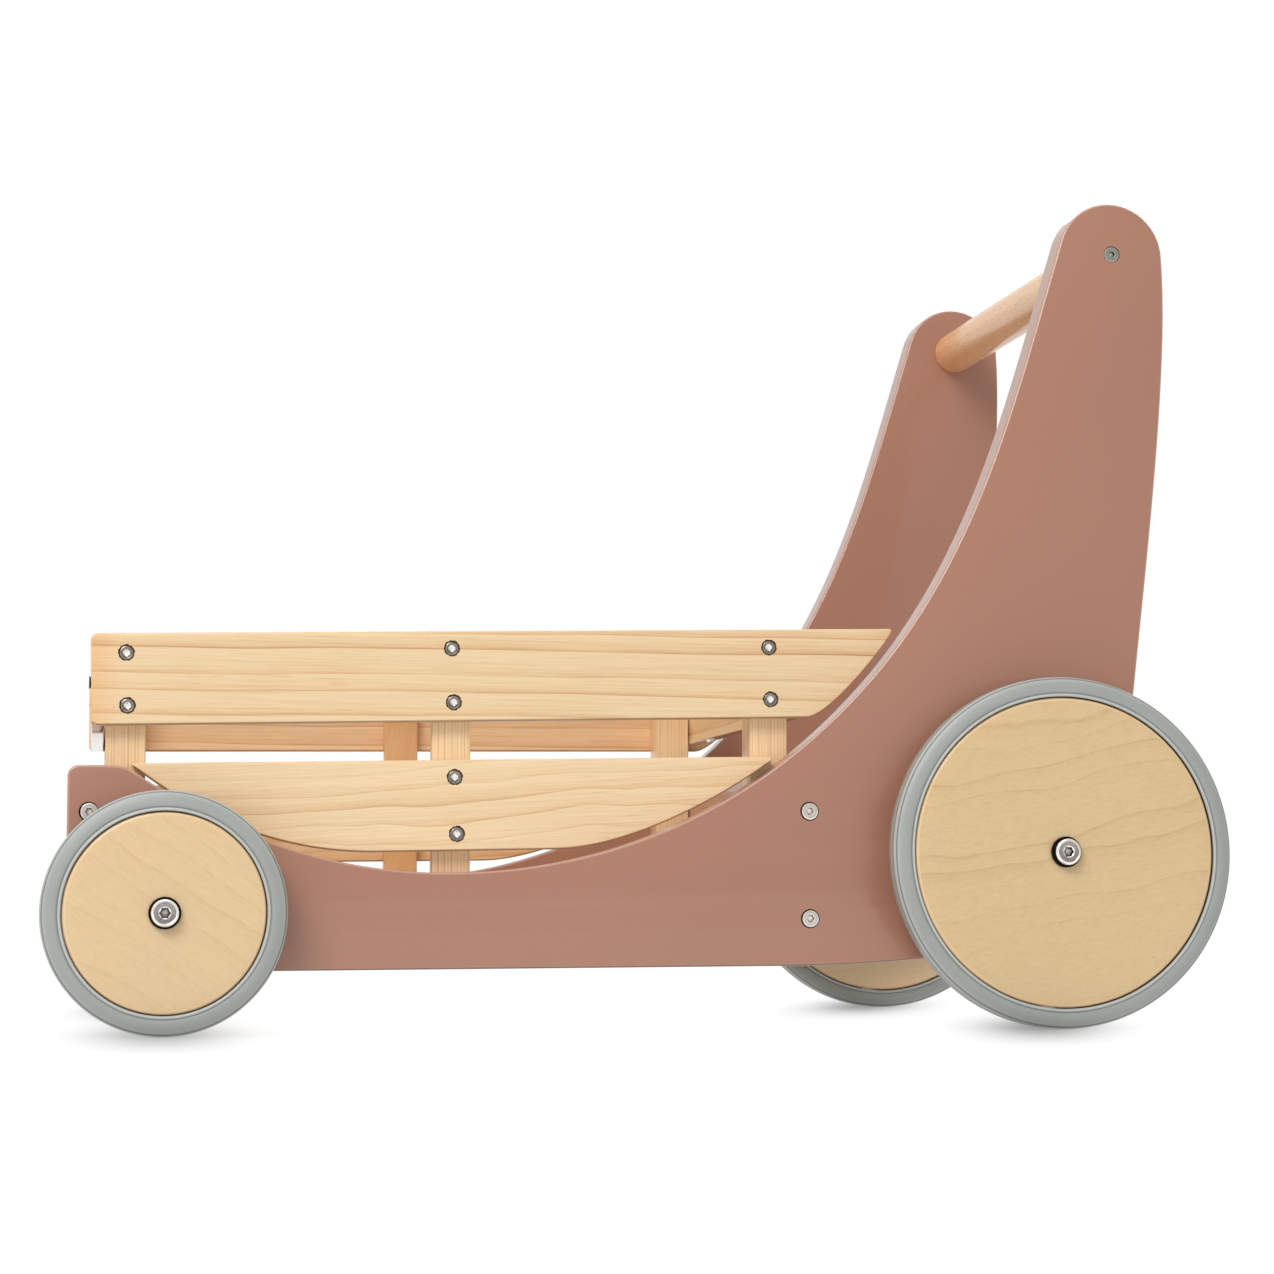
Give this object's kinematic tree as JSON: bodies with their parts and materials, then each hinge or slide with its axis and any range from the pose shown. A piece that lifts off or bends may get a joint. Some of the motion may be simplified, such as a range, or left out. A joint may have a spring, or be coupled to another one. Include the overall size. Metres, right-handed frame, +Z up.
{
  "type": "baby push walker",
  "caption": "Wooden push walker: a slatted crate between swept side panels, rolling on plywood wheels with rubber tyres and pushed by a round cross handle.",
  "frame": {"origin": "on the ground under the middle of the walker's bounding box", "axes": "+X to the rear, where the handle is; +Y to the right side as seen by the child pushing it towards -X; +Z up"},
  "size_m": [0.6138, 0.3868, 0.4421],
  "materials": {
    "paint": "satin dusty pink-brown paint on board",
    "pine": "clear matt lacquer",
    "plywood": "clear satin lacquer on birch",
    "beech": "clear satin lacquer",
    "tyre": "smooth grey rubber",
    "black_plastic": "moulded",
    "steel": "zinc plated"
  },
  "bodies": {
    "frame": {"floor_board": "plywood", "front_board": "paint", "front_board_screw_lower_left": "steel", "front_board_screw_lower_right": "steel", "front_board_screw_upper_left": "steel", "front_board_screw_upper_right": "steel", "front_cross_slat": "pine", "front_left_axle_bolt": "steel", "front_left_nut": "steel", "front_left_spacer": "black_plastic", "front_post_left": "pine", "front_post_right": "pine", "front_right_axle_bolt": "steel", "front_right_nut": "steel", "front_right_spacer": "black_plastic", "handle": "beech", "handle_screw_left": "steel", "handle_screw_right": "steel", "lower_slat_left": "pine", "lower_slat_right": "pine", "middle_post_left": "pine", "middle_post_right": "pine", "rear_board": "paint", "rear_board_screw_lower_left": "steel", "rear_board_screw_lower_right": "steel", "rear_board_screw_upper_left": "steel", "rear_board_screw_upper_right": "steel", "rear_cross_slat": "pine", "rear_left_axle_bolt": "steel", "rear_left_nut": "steel", "rear_left_spacer": "black_plastic", "rear_post_left": "pine", "rear_post_right": "pine", "rear_right_axle_bolt": "steel", "rear_right_nut": "steel", "rear_right_spacer": "black_plastic", "side_panel_left": "paint", "side_panel_right": "paint", "upper_slat_left": "pine", "upper_slat_right": "pine"},
    "front_left_wheel": {"front_left_disc": "plywood", "front_left_tyre": "tyre", "front_left_bush": "black_plastic"},
    "front_right_wheel": {"front_right_disc": "plywood", "front_right_tyre": "tyre", "front_right_bush": "black_plastic"},
    "rear_left_wheel": {"rear_left_disc": "plywood", "rear_left_tyre": "tyre", "rear_left_bush": "black_plastic"},
    "rear_right_wheel": {"rear_right_disc": "plywood", "rear_right_tyre": "tyre", "rear_right_bush": "black_plastic"}
  },
  "joints": [
    {"name": "front_left_wheel_spin", "type": "hinge", "parent": "frame", "child": "front_left_wheel", "pos_m": [-0.2464, -0.18, 0.06051], "axis": [0, 1, 0], "continuous": true},
    {"name": "front_right_wheel_spin", "type": "hinge", "parent": "frame", "child": "front_right_wheel", "pos_m": [-0.2464, 0.18, 0.06051], "axis": [0, 1, 0], "continuous": true},
    {"name": "rear_left_wheel_spin", "type": "hinge", "parent": "frame", "child": "rear_left_wheel", "pos_m": [0.2156, -0.18, 0.09132], "axis": [0, 1, 0], "continuous": true},
    {"name": "rear_right_wheel_spin", "type": "hinge", "parent": "frame", "child": "rear_right_wheel", "pos_m": [0.2156, 0.18, 0.09132], "axis": [0, 1, 0], "continuous": true}
  ]
}
